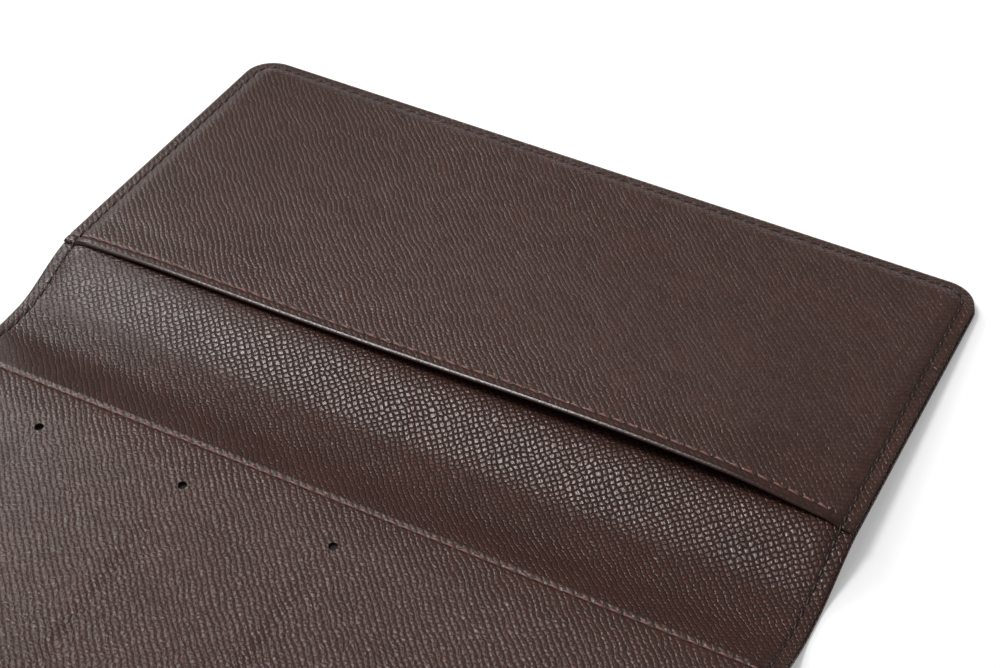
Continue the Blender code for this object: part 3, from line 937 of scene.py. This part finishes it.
def laid_along(path, at, across, above):
    """Places at distances along a path, moved sideways and up from it."""
    step = 0.05 * MM
    point = np.stack(path(at), axis=-1)
    ahead = np.stack(path(at + step), axis=-1) - np.stack(path(at - step), axis=-1)
    ahead /= np.linalg.norm(ahead, axis=-1, keepdims=True)
    sideways = np.cross(np.array([0, 0, 1.0]), ahead)
    sideways /= np.linalg.norm(sideways, axis=-1, keepdims=True)
    upward = np.cross(ahead, sideways)
    return point + across[..., None] * sideways + above[..., None] * upward


def thread_row(name, path, pitch, count, thread, slant, proud, up=1):
    """A row of stitches from the start of a path: one piece, with near-black plugs of painted shade at the
    needle holes between.

    slant is how far a stitch leans, as a share of its length, and proud how far it stands off its groove.
    Adding 0 * at gives each stitch and each hole its own copy of the shape."""
    middles = pitch * (np.arange(count) + 0.5)
    x, y, z = stitch_points.T
    length = STITCH_SHOWN * pitch
    at = middles[:, None] + x * length
    across = y * THREAD_WIDTH + slant * x * length + 0 * at
    above = up * (z * THREAD_WIDTH + proud - DIVE * (2 * x) ** 4) + 0 * at
    stitches = laid_along(path, at, across, above)
    holes_at = pitch * np.arange(count + 1)
    x, y, z = hole_points.T
    at = holes_at[:, None] + x * HOLE_LENGTH
    holes = laid_along(path, at, y * HOLE_WIDTH + 0 * at, up * (z * HOLE_DEEP - HOLE_SUNK) + 0 * at)
    points = np.concatenate([stitches.reshape(-1, 3), holes.reshape(-1, 3)])
    faces = [[i + k * len(stitch_points) for i in face] for k in range(count) for face in stitch_faces]
    first = count * len(stitch_points)
    for k in range(count + 1):
        faces += [[first + i + k * len(hole_points) for i in face] for face in hole_faces]
    mesh = bpy.data.meshes.new(name)
    mesh.from_pydata(points.tolist(), [], faces)
    row = bpy.data.objects.new(name, mesh)
    bpy.context.scene.collection.objects.link(row)
    mesh.materials.append(thread)
    mesh.materials.append(painted_hole_shade)
    indices = np.zeros(len(faces), int)
    indices[count * len(stitch_faces) :] = 1
    mesh.polygons.foreach_set("material_index", indices)
    build = bmesh.new()
    build.from_mesh(mesh)
    bmesh.ops.recalc_face_normals(build, faces=build.faces)
    build.to_mesh(mesh)
    build.free()
    mesh.polygons.foreach_set("use_smooth", indices == 0)
    print(f"{name}: {count} stitches of {1000 * pitch:.2f} mm")
    return row


# %% The paths of the rows
def border_spot(at):
    """Place on the border row, as if it ran round the back half, at a distance from the spine."""
    folded = np.minimum(at, BORDER_ROW - at)
    turn = np.clip((folded - STRAIGHT) / (CORNER_RADIUS - SEAM_INSET), 0, math.pi / 2)
    reach = CORNER_RADIUS - SEAM_INSET
    x = np.minimum(folded, STRAIGHT) + reach * np.sin(turn)
    y = LENGTH / 2 - CORNER_RADIUS + reach * np.cos(turn) - np.maximum(folded - STRAIGHT - ARC, 0)
    return x, np.where(at <= BORDER_ROW / 2, y, -y)


CLIMB = 0.8 * MM  # the border row steps up onto a panel over this width


def inner_border(side):
    def path(at):
        x, y = border_spot(at)
        depth = SEAM_DEPTH * seam_pull(at, BORDER_PITCH)
        bare = rise(x) + lining_top(x, SEAM_INSET)
        if side > 0:
            over = pocket_top(x, y, SEAM_INSET, x - MOUTH_X)
            edge = MOUTH_X
        else:
            over = panel_top(x, SEAM_INSET)
            edge = PANEL_EDGE_X
        return side * x, y, mix(bare, over, smooth((x - edge) / CLIMB + 0.5)) - depth

    return path


def outer_border(side):
    def path(at):
        x, y = border_spot(at)
        return side * x, y, rise(x) + SEAM_DEPTH * seam_pull(at, BORDER_PITCH)

    return path


def mouth_path(at):
    x = np.full_like(at, MOUTH_X + MOUTH_SEAM)
    y = LENGTH / 2 - SEAM_INSET - at
    depth = SEAM_DEPTH * seam_pull(at, MOUTH_PITCH)
    return x, y, pocket_top(x, y, LENGTH / 2 - np.abs(y), MOUTH_SEAM) - depth


def panel_path(at):
    x = np.full_like(at, -PANEL_EDGE_X - PANEL_SEAM)
    y = LENGTH / 2 - SEAM_INSET - at
    depth = PANEL_SEAM_DEPTH * seam_pull(at, MOUTH_PITCH, PANEL_SEAM_EVENNESS)
    return x, y, panel_top(x, LENGTH / 2 - np.abs(y)) - depth


# %% Thread rows
for half, (side, _, _) in HALVES.items():
    for face, path, proud, up in (
        ("inside", inner_border(side), 0.02 * MM, 1),
        ("outside", outer_border(side), -0.18 * MM, -1),
    ):
        row = thread_row(
            f"border_thread_{half}_{face}",
            path,
            BORDER_PITCH,
            BORDER_COUNT,
            dark_thread,
            slant=0.05,
            proud=proud,
            up=up,
        )
        bend_over_fold(row)
mouth_thread = thread_row(
    "mouth_thread", mouth_path, MOUTH_PITCH, MOUTH_COUNT - 1, red_thread, slant=-0.16, proud=0.11 * MM
)
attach(mouth_thread, "back_cover")
panel_thread = thread_row(
    "card_panel_thread", panel_path, MOUTH_PITCH, MOUTH_COUNT, red_thread, slant=-0.1, proud=0.3 * MM
)
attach(panel_thread, "front_cover")

# %% [markdown]
# ## Table and light
#
# The cover lies on a white table. A soft box hangs a little behind it, with a wider and dimmer rim, so that
# the slope of the spine channel mirrors it towards the camera. A third soft light, lower and from the side,
# brings out the ridges of the grain. The room around is white and fills the shadows. To the camera the
# table is white, but it keeps the soft shadow beside the cover.

# %% Table and world
TABLE_GLOW = 0.3  # to the camera and in mirrored light only
ROOM_LIGHT = 0.2
bpy.ops.mesh.primitive_plane_add(size=6, location=(0, 0, 0))
table = bpy.context.object
table.name = "table"
white = bpy.data.materials.new("white_table")
white.use_nodes = True
tree = white.node_tree
tree.nodes.remove(tree.nodes["Principled BSDF"])
rays = node(tree, "ShaderNodeLightPath")
seen = [rays.outputs["Is Camera Ray"], rays.outputs["Is Glossy Ray"]]
seen = node(tree, "ShaderNodeMath", seen, operation="MAXIMUM")
seen = node(tree, "ShaderNodeMath", [seen, rays.outputs["Is Transmission Ray"]], operation="MAXIMUM")
diffuse = node(tree, "ShaderNodeBsdfDiffuse", {"Color": linear("ededed")})
lift = node(tree, "ShaderNodeMath", [seen, TABLE_GLOW], operation="MULTIPLY")
glow = node(tree, "ShaderNodeEmission", {"Strength": lift})
both = node(tree, "ShaderNodeAddShader", [diffuse, glow])
tree.links.new(both.outputs[0], tree.nodes["Material Output"].inputs["Surface"])
table.data.materials.append(white)

world = bpy.context.scene.world or bpy.data.worlds.new("room")
bpy.context.scene.world = world
world.use_nodes = True
tree = world.node_tree
tree.nodes.clear()
rays = node(tree, "ShaderNodeLightPath")
room = node(tree, "ShaderNodeBackground", {"Color": (1, 1, 1, 1), "Strength": ROOM_LIGHT})
shown = node(tree, "ShaderNodeBackground", {"Color": (1, 1, 1, 1), "Strength": 1.0})
either = node(tree, "ShaderNodeMixShader", [rays.outputs["Is Camera Ray"], room, shown])
node(tree, "ShaderNodeOutputWorld", {"Surface": either})

# %% Light
def soft_light(name, direction, distance, size, energy):
    """A round soft light that looks at the middle of the cover."""
    data = bpy.data.lights.new(name, "AREA")
    data.shape = "DISK"
    data.size = size
    data.energy = energy
    lamp = bpy.data.objects.new(name, data)
    bpy.context.scene.collection.objects.link(lamp)
    towards = Vector(direction).normalized()
    lamp.location = towards * distance
    lamp.rotation_euler = towards.to_track_quat("Z", "Y").to_euler()


BEHIND = (-0.085, 0.36, 0.9)
ASIDE = (0.38, 0.74, 0.56)
soft_light("soft_box", BEHIND, distance=0.9, size=0.25, energy=3.5)
soft_light("soft_box_rim", BEHIND, distance=0.92, size=0.8, energy=2.6)
soft_light("side_light", ASIDE, distance=1.3, size=0.5, energy=5.3)

# %% [markdown]
# ## Camera
#
# The camera was fitted to the corners, the stitches and the punched holes of the real cover, so its place
# and turn are measured and not round numbers.

# %% Camera
LENS = 78.33
CAMERA_PLACE = (-249.44 * MM, -147.39 * MM, 310.75 * MM)
CAMERA_TURN = (46.3636, -0.7434, -63.0521)  # degrees
camera_data = bpy.data.cameras.new("camera")
camera_data.lens = LENS
camera_data.clip_start = 0.01
camera = bpy.data.objects.new("camera", camera_data)
bpy.context.scene.collection.objects.link(camera)
camera.location = CAMERA_PLACE
camera.rotation_euler = [math.radians(angle) for angle in CAMERA_TURN]
bpy.context.scene.camera = camera
bpy.context.scene.view_settings.view_transform = "Standard"
